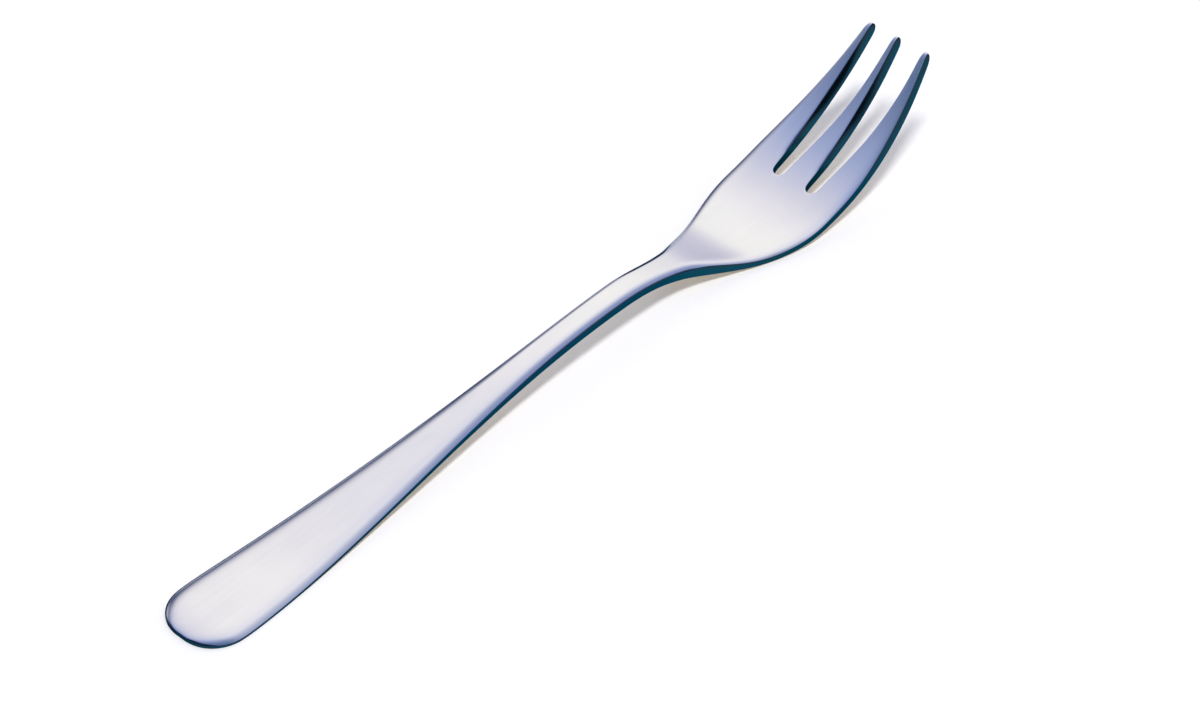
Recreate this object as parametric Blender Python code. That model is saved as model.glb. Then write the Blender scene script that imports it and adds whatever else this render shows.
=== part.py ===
"""Dessert fork with three tines, pressed from one steel blank and modelled as the zones of that blank.

Lengths run along X from the handle's end to the points of the tines, widths along Y, and +Z is up. The fork
lies face up on a table at z = 0, touching it under the handle's end and under the belly of the head. The
origin is on the table, under the middle of the fork's length.
"""
from math import asin, atan, cos, pi, sin, sqrt

import bmesh
import bpy
from mathutils import Vector

# Lengths along X, one zone after another, then the curves inside them
HANDLE_LENGTH = 0.0835
NECK_LENGTH = 0.0166
HEAD_LENGTH = 0.0352
TINE_LENGTH = 0.0247
HANDLE_ROUND = 0.0060
SHOULDER_LENGTH = 0.0299
POINT_ROUND = 0.0009

# Widths along Y
HANDLE_WIDTH = 0.0139
HANDLE_END_FLAT = 0.0024
NECK_WIDTH = 0.0044
NECK_END_WIDTH = 0.0047
HEAD_WIDTH = 0.0200
POINTS_SPAN = 0.0125
MIDDLE_ROOT_WIDTH = 0.0046
SLOT_WIDTH = 0.0023
POINT_WIDTH = 0.0015
POINT_END_FLAT = 0.0006

# Side profile of the underside, which is cut off flat where it touches the table
REST_LENGTH = 0.0164
CREST_FROM_NECK = 0.0094
CREST_HEIGHT = 0.0054
BELLY_FROM_HEAD = 0.0197
BELLY_FLAT = 0.0001
POINT_HEIGHT = 0.0182
DISH_DEPTH = 0.0004

# Thickness of the steel, and the roll and drop of its upper edges
HANDLE_THICKNESS = 0.0012
NECK_THICKNESS = 0.0022
HEAD_THICKNESS = 0.0017
POINT_THICKNESS = 0.0015
END_THICKNESS = 0.0007
HANDLE_ROLL = 0.0022
HANDLE_DROP = 0.0007
NECK_ROLL = 0.0009
NECK_DROP = 0.0010
TINE_ROLL = 0.0005
TINE_DROP = 0.0006
UNDER_RADIUS = 0.0005

# Largest share of its wall that a rounding may take
ROLL_SHARE = 0.9
DROP_SHARE = 0.6
UNDER_SHARE = 0.3

# Gap between neighbouring zones
SEAM = 0.0003

# Powers that shape the tapers of the handle and of the tines
HANDLE_TAPER = 0.82
TINE_TAPER = 1.8

# Look of the steel
STEEL_COLOUR = (0.78, 0.78, 0.81, 1.0)
STEEL_ROUGHNESS = 0.24

# Fineness of the mesh
CORNER_STEPS = 3
PLATE_STEPS = 6
TINE_STEPS = 2
ROUND_STATIONS = 6
REST_STATIONS = 3
HANDLE_STATIONS = 18
NECK_STATIONS = 6
SHOULDER_STATIONS = 11
PALM_STATIONS = 7
TINE_STATIONS = 12
POINT_STATIONS = 4
SLOT_SIDES = 32
SLOT_CUT_DEPTH = 0.0080
SMOOTH_ANGLE = 0.7

# Places that follow from the lengths
NECK_START = HANDLE_LENGTH
HEAD_START = NECK_START + NECK_LENGTH
SLOT_LINE = HEAD_START + HEAD_LENGTH
LENGTH = SLOT_LINE + TINE_LENGTH
CREST = NECK_START + CREST_FROM_NECK
BELLY = HEAD_START + BELLY_FROM_HEAD
SLOT_CENTRE = (MIDDLE_ROOT_WIDTH + SLOT_WIDTH) / 2


def mix(a, b, t):
    """Value a fraction t of the way from a to b."""
    return a + (b - a) * t


def span(x, start, end):
    """How far x has gone from start to end, held between 0 and 1."""
    return min(max((x - start) / (end - start), 0.0), 1.0)


def ease(t):
    """Smooth step from 0 to 1."""
    return t * t * (3 - 2 * t)


def ease_slope(t):
    """Steepness of that smooth step at t."""
    return 6 * t * (1 - t)


def arc(t):
    """Quarter circle that rises steeply from 0 and levels out at 1."""
    return sqrt(1 - (1 - t) ** 2)


def half_width(x):
    """Half the width of the outline: round end, taper, neck, shoulders and the sweep of the tines."""
    if x < HANDLE_ROUND:
        width = mix(HANDLE_END_FLAT, HANDLE_WIDTH, arc(span(x, 0.0, HANDLE_ROUND)))
    elif x < NECK_START:
        width = mix(HANDLE_WIDTH, NECK_WIDTH, ease(span(x, HANDLE_ROUND, NECK_START) ** HANDLE_TAPER))
    elif x < HEAD_START:
        width = mix(NECK_WIDTH, NECK_END_WIDTH, ease(span(x, NECK_START, HEAD_START)))
    elif x < SLOT_LINE:
        width = mix(NECK_END_WIDTH, HEAD_WIDTH, ease(span(x, HEAD_START, HEAD_START + SHOULDER_LENGTH)))
    else:
        width = mix(HEAD_WIDTH, POINTS_SPAN, span(x, SLOT_LINE, LENGTH) ** 2)
    return width / 2


def tine_edges(x, side):
    """Both edges of a tine at x. Side is 1 for the left tine, 0 for the middle one and -1 for the right one."""
    root = MIDDLE_ROOT_WIDTH
    if side:
        root = HEAD_WIDTH / 2 - SLOT_CENTRE - SLOT_WIDTH / 2
    width = mix(root, POINT_WIDTH, span(x, SLOT_LINE, LENGTH) ** TINE_TAPER)
    centre = side * (half_width(x) - width / 2)
    width *= mix(POINT_END_FLAT / POINT_WIDTH, 1.0, arc(1 - span(x, LENGTH - POINT_ROUND, LENGTH)))
    return centre - width / 2, centre + width / 2


def underside(x):
    """Height of the underside on the centre line, and its slope as an angle."""
    if x > BELLY:
        run = LENGTH - BELLY
        radius = (run ** 2 + POINT_HEIGHT ** 2) / (2 * POINT_HEIGHT)
        angle = asin((x - BELLY) / radius)
        return radius * (1 - cos(angle)) - BELLY_FLAT, angle
    if x > CREST:
        start, end, first, last = CREST, BELLY, CREST_HEIGHT, -BELLY_FLAT
    else:
        start, end, first, last = REST_LENGTH, CREST, 0.0, CREST_HEIGHT
    t = span(x, start, end)
    return mix(first, last, ease(t)), atan((last - first) / (end - start) * ease_slope(t))


def full_thickness(x):
    """Thickness of the steel away from its rounded ends, thickest at the neck."""
    thick = mix(HANDLE_THICKNESS, NECK_THICKNESS, ease(span(x, HANDLE_ROUND, NECK_START)))
    thick = mix(thick, HEAD_THICKNESS, ease(span(x, CREST, BELLY)))
    return mix(thick, POINT_THICKNESS, span(x, SLOT_LINE, LENGTH))


def end_thickness(x):
    """Thickness of the steel with its ends rounded off."""
    from_end = arc(span(x, 0.0, HANDLE_ROUND))
    from_point = arc(1 - span(x, LENGTH - POINT_ROUND, LENGTH))
    return mix(END_THICKNESS, full_thickness(x), min(from_end, from_point))


def rolled_edge(x):
    """How wide and how deep the upper edge is rolled over."""
    to_neck = ease(span(x, HANDLE_ROUND, NECK_START))
    to_tine = ease(span(x, HEAD_START, SLOT_LINE))
    roll = mix(mix(HANDLE_ROLL, NECK_ROLL, to_neck), TINE_ROLL, to_tine)
    drop = mix(mix(HANDLE_DROP, NECK_DROP, to_neck), TINE_DROP, to_tine)
    return roll, drop


def dish(x, y):
    """How far the dished head lifts a point at y above its centre line. The tines run out flat."""
    depth = DISH_DEPTH * ease(span(x, HEAD_START, BELLY)) * (1 - ease(span(x, BELLY, LENGTH)))
    return depth * (y / half_width(x)) ** 2


def section(x, low, high, steps):
    """Ring of points across the steel at x, from y = low to y = high, square to the side profile."""
    thick = end_thickness(x)
    half = (high - low) / 2
    roll, drop = rolled_edge(x)
    roll = min(roll, ROLL_SHARE * half)
    drop = min(drop, DROP_SHARE * thick)
    radius = min(UNDER_RADIUS, UNDER_SHARE * thick, UNDER_SHARE * half)
    turns = [pi / 2 * k / CORNER_STEPS for k in range(CORNER_STEPS + 1)]
    under = half - radius
    face = half - roll
    lower_corner = [(under + radius * sin(a), radius * (1 - cos(a))) for a in turns[1:]]
    upper_corner = [(face + roll * cos(a), thick - drop * (1 - sin(a))) for a in turns]
    ring = [(mix(-under, under, k / steps), 0.0) for k in range(steps + 1)]
    ring += lower_corner + upper_corner
    ring += [(mix(face, -face, k / steps), thick) for k in range(1, steps)]
    ring += [(-y, up) for y, up in reversed(lower_corner + upper_corner)]
    height, angle = underside(x)
    lift = (full_thickness(x) - thick) / 2
    points = []
    for offset, up in ring:
        y = (low + high) / 2 + offset
        up += lift + dish(x, y)
        points.append(Vector((x - up * sin(angle), y, max(height + up * cos(angle), 0.0))))
    return points


def stations(start, end, count):
    """Evenly spaced places from start to end."""
    return [mix(start, end, k / count) for k in range(count + 1)]


def round_stations(start, end, count):
    """Places that crowd together towards start, where a rounded end begins."""
    return [mix(start, end, 1 - cos(pi / 2 * k / count)) for k in range(count)]


def steel(name):
    """Polished stainless steel."""
    material = bpy.data.materials.new(name)
    material.use_nodes = True
    shader = material.node_tree.nodes["Principled BSDF"]
    shader.inputs["Base Color"].default_value = STEEL_COLOUR
    shader.inputs["Roughness"].default_value = STEEL_ROUGHNESS
    shader.inputs["Metallic"].default_value = 1.0
    return material


def add_object(name, model, parent):
    """Turn a finished bmesh into a smooth-shaded object under the fork's empty."""
    mesh = bpy.data.meshes.new(name)
    bmesh.ops.recalc_face_normals(model, faces=model.faces)
    model.to_mesh(mesh)
    model.free()
    mesh.shade_smooth()
    mesh.set_sharp_from_angle(angle=SMOOTH_ANGLE)
    piece = bpy.data.objects.new(name, mesh)
    piece.parent = parent
    bpy.context.scene.collection.objects.link(piece)
    return piece


def loft(name, rings, parent):
    """Closed zone of the blank through a row of rings, with flat ends."""
    model = bmesh.new()
    rows = [[model.verts.new(point) for point in ring] for ring in rings]
    count = len(rings[0])
    for row, following in zip(rows, rows[1:]):
        for k in range(count):
            after = (k + 1) % count
            model.faces.new((row[k], row[after], following[after], following[k]))
    model.faces.new(rows[0])
    model.faces.new(rows[-1])
    zone = add_object(name, model, parent)
    zone.data.materials.append(steel(name + "_steel"))
    return zone


def plate(name, places, parent):
    """Zone that takes the whole width of the blank."""
    return loft(name, [section(x, -half_width(x), half_width(x), PLATE_STEPS) for x in places], parent)


def make_handle(parent):
    """Grip with its round end."""
    places = round_stations(0.0, HANDLE_ROUND, ROUND_STATIONS)
    places += stations(HANDLE_ROUND, REST_LENGTH, REST_STATIONS)[:-1]
    places += stations(REST_LENGTH, NECK_START - SEAM / 2, HANDLE_STATIONS)
    plate("handle", places, parent)


def make_neck(parent):
    """Slender stem over the crest."""
    plate("neck", stations(NECK_START + SEAM / 2, HEAD_START - SEAM / 2, NECK_STATIONS), parent)


def make_head(parent):
    """Shoulders and dished palm, with the round ends of both slots cut into its front."""
    places = stations(HEAD_START + SEAM / 2, BELLY, SHOULDER_STATIONS)[:-1]
    places += stations(BELLY, SLOT_LINE - SEAM / 2, PALM_STATIONS)
    head = plate("head", places, parent)
    height, angle = underside(SLOT_LINE)
    for side in (1, -1):
        model = bmesh.new()
        bmesh.ops.create_cone(
            model,
            cap_ends=True,
            segments=SLOT_SIDES,
            radius1=SLOT_WIDTH / 2,
            radius2=SLOT_WIDTH / 2,
            depth=SLOT_CUT_DEPTH,
        )
        cutter = add_object("slot_cutter", model, parent)
        cutter.location = (SLOT_LINE, side * SLOT_CENTRE, height)
        cutter.rotation_euler = (0.0, -angle, 0.0)
        cutter.hide_render = True
        cutter.display_type = "WIRE"
        cut = head.modifiers.new("round_slot_end", "BOOLEAN")
        cut.operation = "DIFFERENCE"
        cut.object = cutter


def make_tines(parent):
    """Three tines that sweep up from the head, with rounded points."""
    places = stations(SLOT_LINE + SEAM / 2, LENGTH - POINT_ROUND, TINE_STATIONS)
    places += reversed(round_stations(LENGTH, LENGTH - POINT_ROUND, POINT_STATIONS))
    for name, side in (("left_tine", 1), ("middle_tine", 0), ("right_tine", -1)):
        loft(name, [section(x, *tine_edges(x, side), TINE_STEPS) for x in places], parent)


def main():
    for old in list(bpy.data.objects):
        bpy.data.objects.remove(old)
    fork = bpy.data.objects.new("dessert_fork", None)
    fork.location = (-LENGTH / 2, 0.0, 0.0)
    bpy.context.scene.collection.objects.link(fork)
    make_handle(fork)
    make_neck(fork)
    make_head(fork)
    make_tines(fork)


main()
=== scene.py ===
"""Finished look of a dessert fork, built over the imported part.

The fork is modelled as it is made. A blank is cut out of flat sheet, given its thickness, has its
edges rounded and is pressed to its side profile. It is one seamless piece of steel, which stands
for all zones of the part. Lengths along the fork are counted from the handle's end, in metres.
Left and right are the fork's own, seen along it towards the points.
"""
from math import asin, atan, cos, pi, radians, sin, sqrt

import bmesh
import bpy
from bpy.props import FloatProperty, FloatVectorProperty, PointerProperty
from mathutils import Euler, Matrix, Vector


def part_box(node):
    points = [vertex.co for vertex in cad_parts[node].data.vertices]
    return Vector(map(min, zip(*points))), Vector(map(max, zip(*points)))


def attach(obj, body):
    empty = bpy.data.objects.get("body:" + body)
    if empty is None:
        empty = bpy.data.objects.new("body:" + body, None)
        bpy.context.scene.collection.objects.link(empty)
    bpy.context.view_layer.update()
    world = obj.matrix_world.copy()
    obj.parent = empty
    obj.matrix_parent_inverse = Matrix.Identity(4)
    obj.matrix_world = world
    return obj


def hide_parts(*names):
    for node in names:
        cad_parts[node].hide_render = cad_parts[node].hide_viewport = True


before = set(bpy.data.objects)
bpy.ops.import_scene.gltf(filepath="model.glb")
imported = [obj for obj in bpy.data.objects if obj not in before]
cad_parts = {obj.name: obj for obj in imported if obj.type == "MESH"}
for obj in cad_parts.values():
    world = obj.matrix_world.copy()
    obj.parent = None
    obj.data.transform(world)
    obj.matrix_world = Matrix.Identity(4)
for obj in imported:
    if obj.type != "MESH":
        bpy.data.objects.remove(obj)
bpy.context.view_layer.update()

bl_info = {
    "name": "Dessert Fork",
    "version": (1, 0, 0),
    "blender": (4, 5, 0),
    "location": "View3D > Sidebar > Fork",
    "description": "Models a dessert fork from a flat blank and sets it on a lit floor",
    "category": "Add Mesh",
}

PIECE = "dessert_fork"
ZONES = ("handle", "neck", "head", "left_tine", "middle_tine", "right_tine")
# Attribute holding how far each place is turned, with the painted darkening added
EDGE_TURN_AND_SHADE_MAP = "edge"

# Where the fork lies in the frame, and its widths there. The finished handle is a little wider.
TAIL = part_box("handle")[0].x
HANDLE_GAIN = 0.0002
HANDLE_WIDTH = 2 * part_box("handle")[1].y + HANDLE_GAIN
HEAD_WIDTH = 2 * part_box("head")[1].y
OVERALL_LENGTH = 0.160

# The left, the middle and the right tine, by their side of the fork
TINES = (1, 0, -1)

# Fineness of the blank's mesh before it is smoothed
COLUMNS = 10
END_ROWS = 5
HANDLE_ROWS = 18
NECK_ROWS = 6
ROOT_ROWS = 4
SHOULDER_ROWS = 11
TINE_ROWS = 10
POINT_ROWS = 6
EDGE_SEGMENTS = 2
SMOOTHING = 2

# How close two places are that count as one, and the digits to which places and radii are sorted
SAME_PLACE = 0.00001
PLACE_DIGITS = 6
RADIUS_DIGITS = 5

# The sheet before it gets its sizes: side of its first square, thickness, and the upward part of a
# face's normal below which the face belongs to the sheet's upright wall
GRID_SIZE = 2.0
RAW_THICKNESS = 1.0
WALL_NORMAL = 0.5

# How the painted dark reflection deepens towards the steel's edges. On tines and neck a face counts
# as turned further.
TINE_SHADE = 1.25
NECK_SHADE = 1.12

# Painted darkening, counted as turn, that is added on the left side, on both sides of the tines and
# at the handle's end, more of it on the left side where the neck ends, and on the right sides of the
# left and the middle tine
SIDE_SHADE = 0.8
ROOT_SHADE = 1.3
SLOT_SHADE = 1.3

# Turn up to which it is added: in general, where the neck ends and on the left shoulder
SIDE_LIMIT = 0.36
ROOT_LIMIT = 0.69
SHOULDER_LIMIT = 0.27

# Where this starts and is full: across the half width on the left shoulder and next to the right
# tine, along the slots, and along the handle's end in lengths of its rounding
SHOULDER_RIM = (0.6, 0.8)
RIGHT_TINE_RIM = (-0.6, -0.4)
SLOT_START = 0.25
END_LENGTHS = 2

# Forward lean at which a point's tip starts to shed the painted darkening, and at which it has shed
# it all
TIP_LEAN = (0.2, 0.6)

# Turn at which each colour of the steel stands, from the face round the cut edge to the underside.
# Between the face and the underside the colours are painted reflection.
STEEL_STOPS = (
    (0.13, "face_colour"),
    (0.24, "painted_roll_reflection"),
    (0.29, "painted_turn_reflection"),
    (0.34, "painted_flank_reflection"),
    (0.42, "painted_flank_reflection"),
    (0.49, "painted_edge_reflection"),
    (0.70, "painted_edge_reflection"),
    (0.90, "face_colour"),
)

# Tint of the steel where it is seen at a glancing angle, dark and bluish so that the edges' painted
# dark reflection stays dark
GLANCING_SHADE_TINT = (0.30, 0.34, 0.40, 1.0)

# Polishing lines along the fork, duller patches, the part of their product between the smoothest and
# the roughest place, and the lines' slight relief
LINE_STRETCH = (60.0, 1600.0, 1600.0)
LINE_SCALE = 1.0
LINE_DETAIL = 4.0
PATCH_SCALE = 130.0
PATCH_DETAIL = 3.0
POLISH_LEAST = 0.1
POLISH_MOST = 0.4
RELIEF_STRENGTH = 0.012
RELIEF_DEPTH = 0.00005

# Directions to both ends of the window, and its light by how near a direction comes to one of them
WINDOW_ENDS = ((0.54, 0.50, 0.67), (0.70, 0.50, 0.51))
WINDOW_LIGHT = (
    (0.35, (0.11, 0.17, 0.32, 1.0)),
    (0.58, (0.20, 0.26, 0.46, 1.0)),
    (0.78, (0.35, 0.42, 0.68, 1.0)),
    (0.92, (0.64, 0.65, 0.80, 1.0)),
    (0.98, (0.89, 0.87, 0.91, 1.0)),
    (1.00, (1.00, 1.00, 0.975, 1.0)),
)

# Where each wall of the room starts and is full, on the axis that its name ends with
END_WALL_X = (0.76, 0.94)
RIGHT_WALL_X = (0.05, 0.40)
RIGHT_WALL_Y = (0.50, 0.10)
RIGHT_WALL_TURN_Y = (0.29, -0.79)
LEFT_ROOM_Y = (0.58, 0.95)
LOW_WALL_X = (0.30, -0.10)
LOW_WALL_Z = (0.62, 0.25)

# Strength of the room's light
ROOM_STRENGTH = 1.11

# Where the lamp hangs over the fork, and the angle that it fills as seen from the fork
LAMP_PLACE = (-0.28, -0.27, 1.0)
LAMP_SPREAD = radians(12.0)

# The photograph's frame in pixels, the pixel where the handle's end is seen, and that end's height
FRAME_WIDTH = 1200
FRAME_HEIGHT = 717
TAIL_PIXEL = (181.4, 633.4)
TAIL_HEIGHT = 0.0007

# The camera's sensor in millimetres, and the nearest distance that it sees in metres
SENSOR_WIDTH = 36.0
NEAREST_SEEN = 0.01


def length(name, description, default):
    """Length setting in metres."""
    return FloatProperty(
        name=name, description=description, default=default, unit="LENGTH", precision=5
    )


def share(name, description, default):
    """Setting between 0 and 1."""
    return FloatProperty(
        name=name, description=description, default=default, min=0.0, max=1.0, subtype="FACTOR"
    )


def angle(name, description, degrees):
    """Angle setting, whose default is given in degrees."""
    return FloatProperty(
        name=name, description=description, default=radians(degrees), subtype="ANGLE"
    )


def colour(name, description, red, green, blue):
    """Colour setting."""
    return FloatVectorProperty(
        name=name,
        description=description,
        default=(red, green, blue, 1.0),
        size=4,
        min=0.0,
        max=1.0,
        subtype="COLOR",
    )


class ForkSizes(bpy.types.PropertyGroup):
    """Sizes of the blank and of its side profile."""

    # Outline
    handle_length: length("Handle length", "From the handle's end to the neck", 0.0835)
    neck_length: length("Neck length", "From the start of the neck to the head", 0.0166)
    head_length: length("Head length", "From the start of the head to the tines", 0.0352)
    handle_round: length("Handle round", "Length of the handle's round end", 0.0060)
    end_reach: length("End reach", "How far the end stands out beyond the handle's length", 0.0003)
    shoulder_length: length("Shoulder length", "How soon the head has its full width", 0.0299)
    handle_end_flat: length("Handle end flat", "Width left at the handle's very end", 0.0024)
    neck_width: length("Neck width", "Width where the neck starts", 0.0048)
    neck_end_width: length("Neck end width", "Width where the head starts", 0.0049)
    points_span: length("Points span", "Width over all points", 0.0125)
    middle_root_width: length("Middle root width", "Width of the middle tine's root", 0.0046)
    slot_width: length("Slot width", "Width of a slot at its round end", 0.0023)
    point_width: length("Point width", "Width of a tine near its point", 0.0014)
    point_end_flat: length("Point end flat", "Width left at a point's very end", 0.0006)
    point_round: length("Point round", "Length of a rounded point", 0.0009)
    nose_length: length("Nose length", "Length over which a point thins out", 0.0015)
    inner_flank: length("Inner flank", "How far a tine's inner flank slopes in", 0.00075)
    outer_flank: length("Outer flank", "How far an outer tine's outer flank slopes in", 0.00045)
    left_bend: length("Left bend", "Bend of the left tine to the right", 0.0002)
    right_bend: length("Right bend", "Bend of the right tine to the right", 0.00045)

    # Side profile
    rest_length: length("Rest length", "How much of the handle lies flat on the table", 0.0135)
    crest_from_neck: length("Crest from neck", "From the neck's start to the crest", 0.0094)
    crest_height: length("Crest height", "Height of the underside at the crest", 0.0054)
    belly_from_head: length("Belly from head", "From the head's start to its belly", 0.0197)
    point_height: length("Point height", "Height of the underside at the points", 0.0182)
    dish_depth: length("Dish depth", "How far the palm lies below its rim", 0.00015)

    # Thicknesses
    handle_thickness: length("Handle thickness", "Thickness of the handle", 0.0012)
    neck_thickness: length("Neck thickness", "Thickness of the neck", 0.00205)
    head_thickness: length("Head thickness", "Thickness of the head", 0.00145)
    point_thickness: length("Point thickness", "Thickness of the tines at their points", 0.0015)
    end_thickness: length("End thickness", "Thickness at the handle's very end", 0.0006)
    nose_thickness: length("Nose thickness", "Thickness at a point's very end", 0.0003)

    # End of the neck on the palm
    root_from_head: length("Root from head", "From the head's start to the neck's end", 0.0069)
    root_bulge: length("Root bulge", "How much thicker the neck is at its end", 0.0006)
    root_blend: length("Root blend", "Half the length of the turn from neck to palm", 0.0024)
    bulge_length: length("Bulge length", "How soon the neck grows thicker to its end", 0.0090)
    hollow_length: length("Hollow length", "Length of the fall from neck to palm", 0.0125)

    # Fall of the face towards its edges, and the rounding of the edges
    handle_roll: length("Handle roll", "Width of the falling rim on the handle", 0.0018)
    neck_roll: length("Neck roll", "Width of the falling rim on the neck", 0.00075)
    rim_width: length("Rim width", "Width of the falling rim on the head", 0.0009)
    handle_drop: length("Handle drop", "Fall of the face at the handle's edges", 0.00064)
    neck_drop: length("Neck drop", "Fall of the face at the neck's edges", 0.00086)
    head_drop: length("Head drop", "Fall of the face at the head's edges", 0.00045)
    tine_drop: length("Tine drop", "Fall of the face at the outer edges of the points", 0.0001)
    crown: length("Crown", "How far the face of handle and neck is arched across", 0.00012)
    handle_edge_round: length("Handle edge round", "Radius of the handle's upper edges", 0.0003)
    head_edge_round: length("Head edge round", "Radius of the head's upper edges", 0.0004)
    tine_edge_round: length("Tine edge round", "Radius of the tines' upper edges", 0.0004)
    under_round: length("Under round", "Radius of all lower edges", 0.0002)


class ForkFinish(bpy.types.PropertyGroup):
    """Colours and polish of the steel, with painted reflection towards its edges."""

    face_colour: colour("Face", "Polished faces", 0.84, 0.83, 0.83)
    # Painted reflection: a lavender roll, then dark turn, flanks and cut edges, standing in for the
    # dark surroundings that the edges mirror
    painted_roll_reflection: colour("Roll", "Where a face rolls over to its edge", 0.68, 0.70, 0.78)
    painted_turn_reflection: colour("Turn", "Where the roll meets the cut edge", 0.12, 0.15, 0.24)
    painted_flank_reflection: colour("Flank", "Sloping flanks of the tines", 0.018, 0.046, 0.062)
    painted_edge_reflection: colour("Edge", "Cut edges all round", 0.006, 0.063, 0.100)
    polish_low: share("Smoothest", "Roughness of the best polished places", 0.17)
    polish_high: share("Roughest", "Roughness of the dullest places", 0.25)


class ForkStage(bpy.types.PropertyGroup):
    """Floor, light and camera."""

    floor_size: length("Floor size", "Side of the square floor", 4.0)
    floor_colour: colour("Floor", "Colour of the floor", 0.90, 0.89, 0.88)
    glow_colour: colour("Glow", "What keeps the floor pale for the eye", 0.128, 0.097, 0.025)
    end_colour: colour("End wall", "Pale wall beyond the points, on the left", 0.76, 0.73, 0.89)
    ahead_colour: colour("Wall ahead", "Right wall, beyond the points", 0.87, 0.87, 0.94)
    right_colour: colour("Right wall", "Right wall, beside the fork", 0.26, 0.32, 0.54)
    room_colour: colour("Left room", "Dim room on the left", 0.06, 0.08, 0.16)
    low_wall_colour: colour("Low wall", "Low wall on the handle's side", 0.80, 0.82, 0.87)
    lamp_power: FloatProperty(
        name="Lamp", description="Strength of the soft lamp that casts the shadow", default=2.05
    )
    azimuth: angle("Azimuth", "Turn of the view", -47.0)
    elevation: angle("Elevation", "Height of the view", 42.36)
    distance: length("Distance", "From the camera to the handle's end, along the view", 0.6)
    focal_length: FloatProperty(
        name="Focal length", description="Lens, in millimetres", default=124.7, unit="CAMERA"
    )


def mix(a, b, t):
    """Value a fraction t of the way from a to b."""
    return a + (b - a) * t


def span(x, start, end):
    """How far x has gone from start to end, held between 0 and 1."""
    return min(max((x - start) / (end - start), 0.0), 1.0)


def ease(t):
    """Smooth step from 0 to 1."""
    return t * t * (3 - 2 * t)


def ease_slope(t):
    """Steepness of that smooth step at t."""
    return 6 * t * (1 - t)


def arc(t):
    """Quarter circle that rises steeply from 0 and levels out at 1."""
    return sqrt(1 - (1 - t) ** 2)


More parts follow.
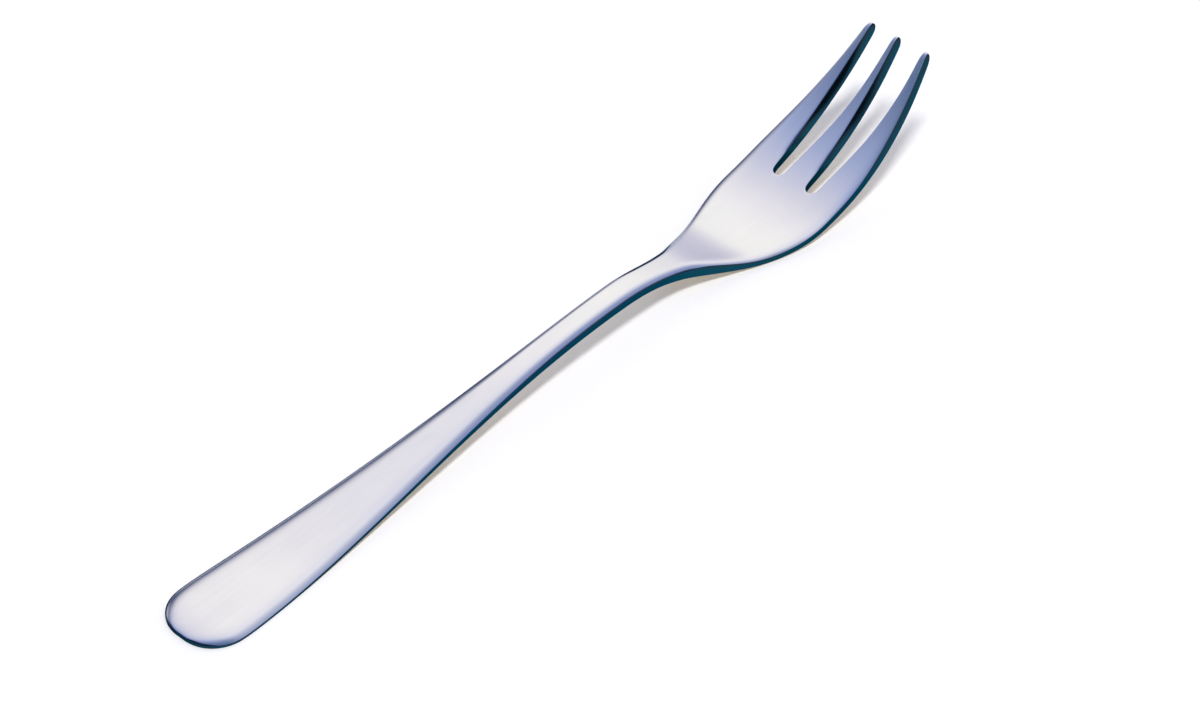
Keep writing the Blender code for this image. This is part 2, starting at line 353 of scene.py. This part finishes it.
class ForkShape:
    """Outline, thickness and side profile of the fork at any place along it."""

    # Powers of the tapers, of the fall of the face to its edges and of its arch
    handle_taper = 0.82
    tine_taper = 1.8
    handle_fall = 3.0
    neck_fall = 2.0
    crown_power = 4

    # Part of the handle that is plain grip, before its face turns into the neck's
    grip = 0.4

    # Parts of the tines' length at which their flanks are full and ease off again, how far they
    # ease off, and the most that they take of a tine's width
    flanks_full = 0.6
    flanks_ease = 0.75
    flanks_loss = 0.45
    flanks_most = 0.5

    # Most of the half width that the falling rim takes
    roll_most = 0.45

    # Columns on handle and neck: parts of the flat face, and in rolls from the edge where that
    # face ends and where the last column stands
    face_columns = (0.33, 0.66, 1.0)
    face_end = 1.2
    last_column = 0.45
    same_column = 0.001

    # Painted dark line where the neck ends: part of the way from the crest to the head at which it
    # is
    #     full, and where it fades, in blends from the neck's end
    line_full = 0.5
    line_fade = (-1.6, 0.6)

    # Part of the tines' length at which the shoulders' painted rim has faded
    shoulders_end = 0.4

    def __init__(self, sizes):
        self.sizes = sizes
        self.start = -sizes.end_reach
        self.neck = sizes.handle_length
        self.head = self.neck + sizes.neck_length
        self.slot_line = self.head + sizes.head_length
        self.slot_floor = self.slot_line - sizes.slot_width / 2
        self.end = OVERALL_LENGTH
        self.crest = self.neck + sizes.crest_from_neck
        self.belly = self.head + sizes.belly_from_head
        self.root = self.head + sizes.root_from_head
        inner = sizes.middle_root_width / HEAD_WIDTH
        outer = inner + 2 * sizes.slot_width / HEAD_WIDTH
        rim = 1 - 2 * sizes.rim_width / HEAD_WIDTH
        self.columns = (inner, outer, (outer + rim) / 2, rim)

    def end_round(self, x):
        """Rounding of the handle's end: 0 at its very end, 1 where it is over."""
        return arc(span(x, self.start, self.sizes.handle_round))

    def past_grip(self, x):
        """How far the handle has turned into the neck: 0 on the grip, 1 from the neck on."""
        return ease(span(x, self.grip * self.neck, self.neck))

    def palm_share(self, x):
        """How far the neck has turned into the palm: 0 on the neck, 1 from the palm on."""
        blend_length = self.sizes.root_blend
        return ease(span(x, self.root - blend_length, self.root + blend_length))

    def along_tine(self, x):
        """How far a place is along the tines, from 0 at their roots to 1 at their points."""
        return span(x, self.slot_line, self.end)

    def tine_place(self, part):
        """Place at a part of the tines' length."""
        return mix(self.slot_line, self.end, part)

    def half_width(self, x):
        """Half the width of the outline."""
        s = self.sizes
        if x < s.handle_round:
            width = mix(s.handle_end_flat, HANDLE_WIDTH, self.end_round(x))
        elif x < self.neck:
            along = span(x, s.handle_round, self.neck) ** self.handle_taper
            width = mix(HANDLE_WIDTH, s.neck_width, ease(along))
        elif x < self.head:
            width = mix(s.neck_width, s.neck_end_width, ease(span(x, self.neck, self.head)))
        elif x < self.slot_line:
            along = span(x, self.head, self.head + s.shoulder_length)
            width = mix(s.neck_end_width, HEAD_WIDTH, ease(along))
        else:
            width = mix(HEAD_WIDTH, s.points_span, self.along_tine(x) ** 2)
        return width / 2

    def tine_edges(self, x, side):
        """Both edges of the tine on a side of the fork."""
        s = self.sizes
        root = s.middle_root_width
        if side:
            root = HEAD_WIDTH / 2 - s.middle_root_width / 2 - s.slot_width
        along = self.along_tine(x)
        width = mix(root, s.point_width, along ** self.tine_taper)
        bend = {1: s.left_bend, 0: 0.0, -1: s.right_bend}[side]
        centre = side * (self.half_width(x) - width / 2) - bend * along ** 2
        rounding = arc(1 - span(x, self.end - s.point_round, self.end))
        width *= mix(s.point_end_flat / s.point_width, 1.0, rounding)
        return centre - width / 2, centre + width / 2

    def flanks(self, x, side):
        """How far a tine's right and left flank slope in, counted across the fork."""
        s = self.sizes
        rise = ease(span(x, self.slot_line, self.tine_place(self.flanks_full)))
        rise *= 1 - self.flanks_loss * ease(span(x, self.tine_place(self.flanks_ease), self.end))
        low = s.outer_flank if side < 0 else s.inner_flank
        high = s.outer_flank if side > 0 else s.inner_flank
        edges = self.tine_edges(x, side)
        rise = min(rise, self.flanks_most * (edges[1] - edges[0]) / (low + high))
        return low * rise, high * rise

    def lift(self, x):
        """How far the underside comes up where a point thins out."""
        s = self.sizes
        thinning = 1 - arc(1 - span(x, self.end - s.nose_length, self.end))
        return (s.point_thickness - s.nose_thickness) / 2 * thinning

    def thickness(self, x):
        """Thickness of the steel on the centre line."""
        s = self.sizes
        along = ease(span(x, s.handle_round, self.neck))
        thick = mix(s.handle_thickness, s.neck_thickness, along)
        thick = mix(thick, s.head_thickness, ease(span(x, self.crest, self.belly)))
        rise = ease(span(x, self.root - s.bulge_length, self.root))
        fall = ease(span(x, self.root, self.root + s.hollow_length))
        thick += s.root_bulge * rise * (1 - fall)
        thick = mix(thick, s.point_thickness, self.along_tine(x)) - 2 * self.lift(x)
        return mix(s.end_thickness, thick, self.end_round(x))

    def roll(self, x):
        """Width of the rim over which the face falls to its edges."""
        s = self.sizes
        roll = mix(s.handle_roll, s.neck_roll, self.past_grip(x))
        roll = mix(roll, s.rim_width, self.palm_share(x))
        return min(roll, self.roll_most * self.half_width(x))

    def neck_share(self, x):
        """How far a place belongs to the neck: 0 on the grip, 1 on the neck and 0 on the palm."""
        return self.past_grip(x) * (1 - self.palm_share(x))

    def root_share(self, x):
        """How near a place is to the neck's end: 1 there, 0 on the crest and on the palm."""
        rising = ease(span(x, self.crest, mix(self.crest, self.head, self.line_full)))
        start, end = (self.root + part * self.sizes.root_blend for part in self.line_fade)
        return rising * (1 - ease(span(x, start, end)))

    def shoulder_share(self, x):
        """How far a place belongs to the shoulders: 0 on the neck, 1 there and 0 on the tines."""
        fading = ease(span(x, self.slot_line, self.tine_place(self.shoulders_end)))
        return self.palm_share(x) * (1 - fading)

    def drop(self, x, y):
        """How far the face falls away towards the edges of the outline."""
        s = self.sizes
        drop = mix(s.handle_drop, s.neck_drop, ease(span(x, s.handle_round, self.neck)))
        drop = mix(drop, s.head_drop, self.palm_share(x)) * self.end_round(x)
        drop = mix(drop, s.tine_drop, span(x, self.belly, self.end))
        edge = self.half_width(x)
        arched = self.end_round(x) * (1 - self.palm_share(x))
        power = mix(self.handle_fall, self.neck_fall, self.past_grip(x))
        crown = s.crown * arched * (y / edge) ** self.crown_power
        return crown + drop * span(abs(y), edge - self.roll(x), edge) ** power

    def column(self, x, y):
        """Place across the fork of a column at y, moved out to where the face falls away."""
        near_edge = 1 - ease(span(x, self.root, self.slot_floor))
        if near_edge == 0:
            return y
        edge = self.half_width(x)
        side = abs(y) / edge
        face = edge - self.face_end * self.roll(x)
        places = [part * face for part in self.face_columns]
        places.append(edge - self.last_column * self.roll(x))
        for column, place in zip(self.columns, places):
            if abs(side - column) < self.same_column:
                return y * mix(1.0, place / abs(y), near_edge)
        return y

    def dish(self, x, y):
        """How far the palm rises from its centre line towards its rim."""
        rise = ease(span(x, self.head, self.belly)) * (1 - ease(span(x, self.belly, self.end)))
        return self.sizes.dish_depth * rise * (y / self.half_width(x)) ** 2

    def edge_round(self, x):
        """Rounding of the upper edges."""
        s = self.sizes
        along = ease(span(x, s.handle_round, self.head))
        rounding = mix(s.handle_edge_round, s.head_edge_round, along)
        return mix(rounding, s.tine_edge_round, ease(span(x, self.belly, self.slot_floor)))

    def underside(self, x):
        """Height of the underside, and its slope as an angle."""
        s = self.sizes
        if x > self.belly:
            run = self.end - self.belly
            radius = (run ** 2 + s.point_height ** 2) / (2 * s.point_height)
            slope = asin((x - self.belly) / radius)
            return radius * (1 - cos(slope)), slope
        if x > self.crest:
            start, end, first, last = self.crest, self.belly, s.crest_height, 0.0
        else:
            start, end, first, last = s.rest_length, self.crest, 0.0, s.crest_height
        t = span(x, start, end)
        return mix(first, last, ease(t)), atan((last - first) / (end - start) * ease_slope(t))

    def plate_rows(self):
        """Places of the rows from the handle's end to the floor of the slots."""
        s = self.sizes
        turns = [pi / 2 * k / END_ROWS for k in range(END_ROWS)]
        rows = [mix(self.start, s.handle_round, 1 - cos(turn)) for turn in turns]
        for start, end, count in (
            (s.handle_round, self.neck, HANDLE_ROWS),
            (self.neck, self.root - s.root_blend, NECK_ROWS),
            (self.root - s.root_blend, self.root + s.root_blend, ROOT_ROWS),
            (self.root + s.root_blend, self.slot_floor, SHOULDER_ROWS),
        ):
            rows += [mix(start, end, k / count) for k in range(count)]
        return rows + [self.slot_floor]

    def tine_rows(self):
        """Places of the rows along the tines, which crowd together at the points."""
        nose = self.end - self.sizes.nose_length
        rows = [mix(self.slot_floor, nose, k / TINE_ROWS) for k in range(1, TINE_ROWS + 1)]
        turns = [pi / 2 * k / POINT_ROWS for k in range(1, POINT_ROWS + 1)]
        return rows + [mix(nose, self.end, sin(turn)) for turn in turns]


def edited():
    """Mesh that is being edited."""
    return bmesh.from_edit_mesh(bpy.context.object.data)


def pick(wanted):
    """Select the vertices that the test wants, and no others."""
    mesh = edited()
    for vertex in mesh.verts:
        vertex.select = bool(wanted(vertex))
    mesh.select_flush_mode()
    bmesh.update_edit_mesh(bpy.context.object.data)


def near(a, b):
    """Whether two lengths are the same."""
    return abs(a - b) < SAME_PLACE


def in_row(vertex, x):
    """Whether a vertex stands in the row at x."""
    return near(vertex.co.x, TAIL + x)


def between(vertex, low, high):
    """Whether a vertex stands between two places across the fork, or on one of them."""
    return low - SAME_PLACE < vertex.co.y < high + SAME_PLACE


def move(x=0.0, y=0.0, z=0.0):
    """Move what is selected."""
    bpy.ops.transform.translate(value=(x, y, z))


def widen(factor, centre=0.0):
    """Scale what is selected across the fork, from a place across it."""
    bpy.ops.transform.resize(value=(1.0, factor, 1.0), center_override=(0.0, centre, 0.0))


def extrude(x=0.0, y=0.0, z=0.0):
    """Pull new rows or walls out of what is selected."""
    bpy.ops.mesh.extrude_region_move(TRANSFORM_OT_translate={"value": (x, y, z)})


def start_sheet(shape):
    """First strip of the sheet, with columns that line up with the slots further on."""
    bpy.ops.mesh.primitive_grid_add(
        x_subdivisions=1, y_subdivisions=COLUMNS, size=GRID_SIZE, enter_editmode=True
    )
    bpy.context.object.name = PIECE
    bpy.context.object.data.name = PIECE
    for number, place in enumerate(shape.columns, start=1):
        grid_place = GRID_SIZE * number / COLUMNS
        pick(lambda vertex: near(abs(vertex.co.y), grid_place))
        widen(place / grid_place)
    first, second = shape.plate_rows()[:2]
    for grid_end, x in ((-GRID_SIZE / 2, first), (GRID_SIZE / 2, second)):
        pick(lambda vertex: near(vertex.co.x, grid_end))
        widen(shape.half_width(x))
        move(x=TAIL + x - grid_end)


def cut_plate(shape):
    """Handle, neck and head, row by row from the handle's end."""
    rows = shape.plate_rows()
    for before, x in zip(rows[1:], rows[2:]):
        extrude(x=x - before)
        widen(shape.half_width(x) / shape.half_width(before))


def cut_tines(shape):
    """Three tines out of the last row of the head. The slots between them stay open."""
    for side in TINES:
        before = shape.slot_floor
        low, high = shape.tine_edges(before, side)
        pick(lambda vertex: in_row(vertex, shape.slot_floor) and between(vertex, low, high))
        for x in shape.tine_rows():
            new_low, new_high = shape.tine_edges(x, side)
            centre = (new_low + new_high) / 2
            extrude(x=x - before, y=centre - (low + high) / 2)
            widen((new_high - new_low) / (high - low), centre)
            before, low, high = x, new_low, new_high


def thicken(shape):
    """Give the sheet its thickness, let the face fall away to its edges and dish the palm."""
    bpy.ops.mesh.select_all(action="SELECT")
    extrude(z=RAW_THICKNESS)
    mark_rounds(shape)
    for x in shape.plate_rows() + shape.tine_rows():
        factor = shape.thickness(x) / RAW_THICKNESS
        pick(lambda vertex: in_row(vertex, x))
        bpy.ops.transform.resize(value=(1.0, 1.0, factor), center_override=(0.0, 0.0, 0.0))
        shift_columns(shape, x)
    for x in shape.tine_rows():
        for side in TINES:
            slope_flanks(shape, x, side)
        pick(lambda vertex: in_row(vertex, x))
        move(z=shape.lift(x))
    bpy.ops.mesh.select_all(action="SELECT")
    bpy.ops.mesh.normals_make_consistent(inside=False)
    if edited().calc_volume(signed=True) < 0:
        bpy.ops.mesh.flip_normals()


def mark_rounds(shape):
    """Mark how far each rim is to be rounded, while the sheet's walls still stand upright."""
    sizes = shape.sizes
    rounds = {}
    mesh = edited()
    mesh.normal_update()
    for edge in mesh.edges:
        walls = [abs(face.normal.z) < WALL_NORMAL for face in edge.link_faces]
        if any(walls) and not all(walls):
            middle = (edge.verts[0].co + edge.verts[1].co) / 2
            radius = sizes.under_round
            if middle.z > RAW_THICKNESS / 2:
                radius = round(shape.edge_round(middle.x - TAIL), RADIUS_DIGITS)
            rounds[edge.index] = radius
    for radius in sorted(set(rounds.values())):
        mesh = edited()
        bpy.ops.mesh.select_all(action="DESELECT")
        for edge in mesh.edges:
            edge.select = rounds.get(edge.index) == radius
        bmesh.update_edit_mesh(bpy.context.object.data)
        bpy.ops.transform.edge_bevelweight(value=radius / sizes.head_edge_round)


def shift_columns(shape, x):
    """Let one row of the face fall away to its edges, and lift the palm towards its rim."""
    columns = {}
    for vertex in edited().verts:
        if in_row(vertex, x):
            upper = vertex.co.z > shape.thickness(x) / 2
            place = round(vertex.co.y, PLACE_DIGITS)
            columns.setdefault((place, upper), set()).add(vertex.index)
    for (y, upper), members in columns.items():
        across_fork = shape.column(x, y)
        pick(lambda vertex: vertex.index in members)
        move(
            y=across_fork - y,
            z=shape.dish(x, across_fork) - upper * shape.drop(x, across_fork),
        )


def slope_flanks(shape, x, side):
    """Draw the upper side of one tine in, so that its flanks slope."""
    low, high = shape.tine_edges(x, side)
    low_flank, high_flank = shape.flanks(x, side)
    middle = shape.thickness(x) / 2
    pick(
        lambda vertex: in_row(vertex, x) and between(vertex, low, high) and vertex.co.z > middle
    )
    widen(1 - (low_flank + high_flank) / (high - low), (low + high) / 2)
    move(y=(low_flank - high_flank) / 2)


def round_edges(shape):
    """Round the marked rims between the faces and the cut edge of the sheet."""
    bpy.ops.object.mode_set(mode="OBJECT")
    bevel = bpy.context.object.modifiers.new("round_edges", "BEVEL")
    bevel.limit_method = "WEIGHT"
    bevel.width = shape.sizes.head_edge_round
    bevel.segments = EDGE_SEGMENTS
    bpy.ops.object.modifier_apply(modifier=bevel.name)


def edge_turn(shape, place, normal):
    """How far a place of the flat blank is turned over.

    It is 0 on the face, 0.5 on the cut edge and 1 underneath. Where the painted dark reflection is
    to come sooner than the turn gives it, the place counts as turned further.
    """
    x = place.x - TAIL
    upper = normal.z > 0
    on_tine = upper * ease(span(x, shape.belly, shape.slot_line))
    on_neck = upper * shape.neck_share(x)
    # Painted dark reflection comes sooner on the tines and the neck
    turned = (1 - normal.z) / 2 * mix(1.0, TINE_SHADE, on_tine)
    turned *= mix(1.0, NECK_SHADE, on_neck)
    if upper and x > shape.end - shape.sizes.nose_length:
        turned *= 1 - span(normal.x, *TIP_LEAN)

    on_end = 1 - ease(span(x, shape.start, END_LENGTHS * shape.sizes.handle_round))
    sideways = max(normal.y, -normal.y * on_tine, -normal.x * on_end)
    outwards = place.y / shape.half_width(x)
    at_root = shape.root_share(x)
    slot_start = mix(shape.slot_floor, shape.end, SLOT_START)
    at_slot = on_tine * ease(span(x, shape.slot_floor, slot_start))
    at_slot *= span(outwards, *RIGHT_TINE_RIM) * (normal.y < 0)
    # Painted darkening on the left side, the tines' sides, the handle's end, the neck's end and
    # beside the slots
    shade = SIDE_SHADE * sideways ** 2
    shade += (ROOT_SHADE * at_root + SLOT_SHADE * at_slot) * sideways

    on_shoulder = shape.shoulder_share(x) * span(outwards, *SHOULDER_RIM)
    limit = mix(mix(SIDE_LIMIT, ROOT_LIMIT, at_root), SHOULDER_LIMIT, on_shoulder)
    return max(turned, min(turned + shade, limit))


def map_edges(shape):
    """Store on the flat blank how far each place is turned, for the steel's colours and their
    painted reflection.
    """
    mesh = bpy.context.object.data
    attribute = mesh.attributes.new(EDGE_TURN_AND_SHADE_MAP, "FLOAT", "POINT")
    for vertex, value in zip(mesh.vertices, attribute.data):
        value.value = edge_turn(shape, vertex.co, vertex.normal)


def press(shape):
    """Press the flat blank to its side profile, one row after another."""
    bpy.ops.object.mode_set(mode="EDIT")
    rows = {}
    for vertex in edited().verts:
        rows.setdefault(round(vertex.co.x, PLACE_DIGITS), set()).add(vertex.index)
    for x, members in rows.items():
        height, slope = shape.underside(x - TAIL)
        pick(lambda vertex: vertex.index in members)
        bpy.ops.transform.rotate(value=slope, orient_axis="Y", center_override=(x, 0.0, 0.0))
        move(z=height)
    bpy.ops.object.mode_set(mode="OBJECT")


def smooth():
    """Smooth the pressed blank into its polished form."""
    surface = bpy.context.object.modifiers.new("polish", "SUBSURF")
    surface.levels = SMOOTHING
    surface.render_levels = SMOOTHING
    bpy.ops.object.modifier_apply(modifier=surface.name)
    bpy.ops.object.shade_smooth()


def link(tree, source, target):
    """Join two sockets."""
    tree.links.new(source, target)


def ramp(tree, factor, stops):
    """Colour by a factor, from a ramp with the given places and colours."""
    node = tree.nodes.new("ShaderNodeValToRGB")
    elements = node.color_ramp.elements
    while len(elements) < len(stops):
        elements.new(1.0)
    for element, (place, value) in zip(elements, stops):
        element.position = place
        element.color = value
    link(tree, factor, node.inputs["Fac"])
    return node.outputs["Color"]


def combine(tree, operation, first, second):
    """Result of a calculation with two sockets."""
    node = tree.nodes.new("ShaderNodeMath")
    node.operation = operation
    link(tree, first, node.inputs[0])
    link(tree, second, node.inputs[1])
    return node.outputs["Value"]


def noise(tree, place, scale, detail):
    """Noise at a place."""
    node = tree.nodes.new("ShaderNodeTexNoise")
    node.inputs["Scale"].default_value = scale
    node.inputs["Detail"].default_value = detail
    link(tree, place, node.inputs["Vector"])
    return node.outputs["Fac"]


def steel(finish):
    """Satin-polished stainless steel with painted dark reflection along its cut edges, and fine
    polishing lines.
    """
    material = bpy.data.materials.new("satin_steel")
    material.use_nodes = True
    tree = material.node_tree
    shader = tree.nodes["Principled BSDF"]
    shader.inputs["Metallic"].default_value = 1.0
    # Dark glancing tint keeps the painted dark reflection on the edges dark
    shader.inputs["Specular Tint"].default_value = GLANCING_SHADE_TINT

    turned = tree.nodes.new("ShaderNodeAttribute")
    turned.attribute_name = EDGE_TURN_AND_SHADE_MAP
    stops = [(turn, tuple(getattr(finish, name))) for turn, name in STEEL_STOPS]
    link(tree, ramp(tree, turned.outputs["Fac"], stops), shader.inputs["Base Color"])

    place = tree.nodes.new("ShaderNodeTexCoord").outputs["Object"]
    along = tree.nodes.new("ShaderNodeMapping")
    along.inputs["Scale"].default_value = LINE_STRETCH
    link(tree, place, along.inputs["Vector"])
    lines = noise(tree, along.outputs["Vector"], LINE_SCALE, LINE_DETAIL)
    patches = noise(tree, place, PATCH_SCALE, PATCH_DETAIL)

    polish = tree.nodes.new("ShaderNodeMapRange")
    polish.inputs["From Min"].default_value = POLISH_LEAST
    polish.inputs["From Max"].default_value = POLISH_MOST
    polish.inputs["To Min"].default_value = finish.polish_low
    polish.inputs["To Max"].default_value = finish.polish_high
    link(tree, combine(tree, "MULTIPLY", lines, patches), polish.inputs["Value"])
    link(tree, polish.outputs["Result"], shader.inputs["Roughness"])

    relief = tree.nodes.new("ShaderNodeBump")
    relief.inputs["Strength"].default_value = RELIEF_STRENGTH
    relief.inputs["Distance"].default_value = RELIEF_DEPTH
    link(tree, lines, relief.inputs["Height"])
    link(tree, relief.outputs["Normal"], shader.inputs["Normal"])
    return material


class FORK_OT_model(bpy.types.Operator):
    """Model the fork: cut the blank, thicken it, round its edges, press it and polish it"""

    bl_idname = "fork.model"
    bl_label = "Model Fork"

    def execute(self, context):
        bpy.ops.object.select_all(action="DESELECT")
        shape = ForkShape(context.scene.fork_sizes)
        start_sheet(shape)
        cut_plate(shape)
        cut_tines(shape)
        thicken(shape)
        round_edges(shape)
        map_edges(shape)
        press(shape)
        smooth()
        fork = context.object
        fork.data.materials.append(steel(context.scene.fork_finish))
        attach(fork, "root")
        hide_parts(*ZONES)
        return {"FINISHED"}


def seen_rays(tree):
    """1 for what the eye sees, also in metal and through glass, and 0 for light on other things."""
    rays = tree.nodes.new("ShaderNodeLightPath").outputs
    seen = combine(tree, "MAXIMUM", rays["Is Camera Ray"], rays["Is Glossy Ray"])
    return combine(tree, "MAXIMUM", seen, rays["Is Transmission Ray"])


def lay_floor(stage):
    """Pale floor that keeps the fork's shadow."""
    bpy.ops.mesh.primitive_plane_add(size=stage.floor_size)
    floor = bpy.context.object
    floor.name = "floor"
    material = bpy.data.materials.new("pale_floor")
    material.use_nodes = True
    tree = material.node_tree
    tree.nodes.clear()
    output = tree.nodes.new("ShaderNodeOutputMaterial")
    paper = tree.nodes.new("ShaderNodeBsdfDiffuse")
    paper.inputs["Color"].default_value = stage.floor_colour
    glow = tree.nodes.new("ShaderNodeEmission")
    glow.inputs["Color"].default_value = stage.glow_colour
    both = tree.nodes.new("ShaderNodeAddShader")
    link(tree, seen_rays(tree), glow.inputs["Strength"])
    link(tree, paper.outputs["BSDF"], both.inputs[0])
    link(tree, glow.outputs["Emission"], both.inputs[1])
    link(tree, both.outputs["Shader"], output.inputs["Surface"])
    floor.data.materials.append(material)


def across(tree, socket, start, end):
    """Soft step from 0 at the start to 1 at the end."""
    step = tree.nodes.new("ShaderNodeMapRange")
    step.interpolation_type = "SMOOTHSTEP"
    step.inputs["From Min"].default_value = start
    step.inputs["From Max"].default_value = end
    link(tree, socket, step.inputs["Value"])
    return step.outputs["Result"]


def blend(tree, factor, first, second):
    """Mix two colours, each given as a value or as a socket."""
    node = tree.nodes.new("ShaderNodeMix")
    node.data_type = "RGBA"
    link(tree, factor, node.inputs["Factor"])
    for name, value in (("A", first), ("B", second)):
        if isinstance(value, bpy.types.NodeSocket):
            link(tree, value, node.inputs[name])
        else:
            node.inputs[name].default_value = value
    return node.outputs["Result"]


def window_light(tree, direction):
    """Light of the window, which fades to a dim blue away from both of its ends."""
    ends = []
    for end in WINDOW_ENDS:
        towards = tree.nodes.new("ShaderNodeVectorMath")
        towards.operation = "DOT_PRODUCT"
        towards.inputs[1].default_value = Vector(end).normalized()
        link(tree, direction, towards.inputs[0])
        ends.append(towards.outputs["Value"])
    return ramp(tree, combine(tree, "MAXIMUM", *ends), WINDOW_LIGHT)


def light_room(scene, stage):
    """Light from the room, by direction.

    A bright window stands behind the fork, pale walls beyond its points, a bluer wall on its right
    and a dim room on its left. A pale low wall on the handle's side is only for the eye and for
    reflections, and lights nothing else.
    """
    world = bpy.data.worlds.new("room")
    scene.world = world
    world.use_nodes = True
    tree = world.node_tree
    direction = tree.nodes.new("ShaderNodeTexCoord").outputs["Generated"]
    axes = tree.nodes.new("ShaderNodeSeparateXYZ")
    link(tree, direction, axes.inputs["Vector"])
    x, y, z = (axes.outputs[name] for name in "XYZ")

    at_end = across(tree, x, *END_WALL_X)
    light = blend(tree, at_end, window_light(tree, direction), stage.end_colour)

    turned = across(tree, y, *RIGHT_WALL_TURN_Y)
    right_wall = blend(tree, turned, stage.ahead_colour, stage.right_colour)
    on_right = across(tree, y, *RIGHT_WALL_Y)
    on_right = combine(tree, "MULTIPLY", on_right, across(tree, x, *RIGHT_WALL_X))
    light = blend(tree, on_right, light, right_wall)

    light = blend(tree, across(tree, y, *LEFT_ROOM_Y), light, stage.room_colour)

    low_down = across(tree, z, *LOW_WALL_Z)
    low_down = combine(tree, "MULTIPLY", low_down, across(tree, x, *LOW_WALL_X))
    low_down = combine(tree, "MULTIPLY", low_down, seen_rays(tree))
    light = blend(tree, low_down, light, stage.low_wall_colour)

    background = tree.nodes["Background"]
    background.inputs["Strength"].default_value = ROOM_STRENGTH
    link(tree, light, background.inputs["Color"])


def hang_lamp(stage):
    """Soft lamp, high up on the camera's side, that casts the shadow away from the camera."""
    bpy.ops.object.light_add(type="SUN", location=LAMP_PLACE)
    lamp = bpy.context.object
    lamp.name = "shadow_lamp"
    lamp.data.angle = LAMP_SPREAD
    lamp.data.energy = stage.lamp_power
    lamp.rotation_euler = lamp.location.to_track_quat("Z", "Y").to_euler()
    lamp.visible_glossy = False


def set_camera(scene, stage):
    """Camera that sees the handle's end at its pixel in the photograph's frame."""
    turn = Euler((pi / 2 - stage.elevation, 0.0, stage.azimuth)).to_matrix()
    pixels = stage.focal_length / SENSOR_WIDTH * FRAME_WIDTH
    tail = Vector(
        (
            (TAIL_PIXEL[0] - FRAME_WIDTH / 2) / pixels * stage.distance,
            (FRAME_HEIGHT / 2 - TAIL_PIXEL[1]) / pixels * stage.distance,
            -stage.distance,
        )
    )
    place = Vector((TAIL, 0.0, TAIL_HEIGHT)) - turn @ tail
    bpy.ops.object.camera_add(location=place, rotation=turn.to_euler())
    camera = bpy.context.object
    camera.data.sensor_width = SENSOR_WIDTH
    camera.data.sensor_fit = "HORIZONTAL"
    camera.data.lens = stage.focal_length
    camera.data.clip_start = NEAREST_SEEN
    scene.camera = camera


class FORK_OT_stage(bpy.types.Operator):
    """Set the stage: floor, light and camera"""

    bl_idname = "fork.stage"
    bl_label = "Set Stage"

    def execute(self, context):
        scene = context.scene
        stage = scene.fork_stage
        bpy.ops.object.select_all(action="DESELECT")
        lay_floor(stage)
        light_room(scene, stage)
        hang_lamp(stage)
        set_camera(scene, stage)
        scene.view_settings.view_transform = "Standard"
        return {"FINISHED"}


class FORK_PT_panel(bpy.types.Panel):
    """Settings of the fork and its stage."""

    bl_label = "Dessert Fork"
    bl_idname = "FORK_PT_panel"
    bl_space_type = "VIEW_3D"
    bl_region_type = "UI"
    bl_category = "Fork"

    # Each operator, with the settings that it uses
    sections = {
        FORK_OT_model.bl_idname: ("fork_sizes", "fork_finish"),
        FORK_OT_stage.bl_idname: ("fork_stage",),
    }

    def draw(self, context):
        for operator, names in self.sections.items():
            for name in names:
                settings = getattr(context.scene, name)
                for key in settings.__annotations__:
                    self.layout.prop(settings, key)
            self.layout.operator(operator)


CLASSES = (ForkSizes, ForkFinish, ForkStage, FORK_OT_model, FORK_OT_stage, FORK_PT_panel)


def register():
    """Add the classes to Blender, and the settings to every scene."""
    for item in CLASSES:
        bpy.utils.register_class(item)
    bpy.types.Scene.fork_sizes = PointerProperty(type=ForkSizes)
    bpy.types.Scene.fork_finish = PointerProperty(type=ForkFinish)
    bpy.types.Scene.fork_stage = PointerProperty(type=ForkStage)


def unregister():
    """Take the settings and the classes away again."""
    for name in ("fork_sizes", "fork_finish", "fork_stage"):
        delattr(bpy.types.Scene, name)
    for item in reversed(CLASSES):
        bpy.utils.unregister_class(item)


def main():
    """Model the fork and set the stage."""
    register()
    bpy.ops.fork.model()
    bpy.ops.fork.stage()


if __name__ == "__main__":
    main()
